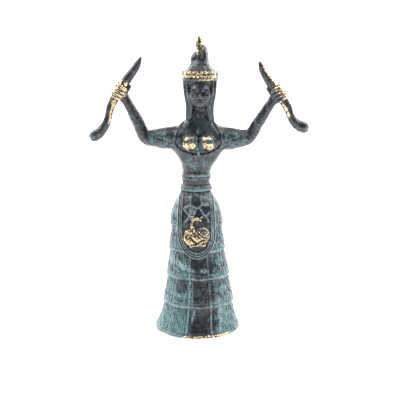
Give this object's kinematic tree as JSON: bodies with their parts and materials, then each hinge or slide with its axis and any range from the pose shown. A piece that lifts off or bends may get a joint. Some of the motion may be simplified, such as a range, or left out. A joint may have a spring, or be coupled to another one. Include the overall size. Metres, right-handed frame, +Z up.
{
  "type": "goddess statuette",
  "caption": "Small patinated bronze statuette of a goddess in a flounced skirt, a snake raised in each hand, standing on its flat underside.",
  "frame": {"origin": "middle of the flat underside of the skirt", "axes": "+Z up along the figure, -Y the way the figure faces, +X towards the viewer's right"},
  "size_m": [0.1102, 0.045, 0.1501],
  "materials": {
    "patinated_bronze": "cast, blackened, with verdigris in the hollows and burnished golden high spots"
  },
  "bodies": {
    "root": {"goddess_statuette": "patinated_bronze"}
  },
  "joints": []
}
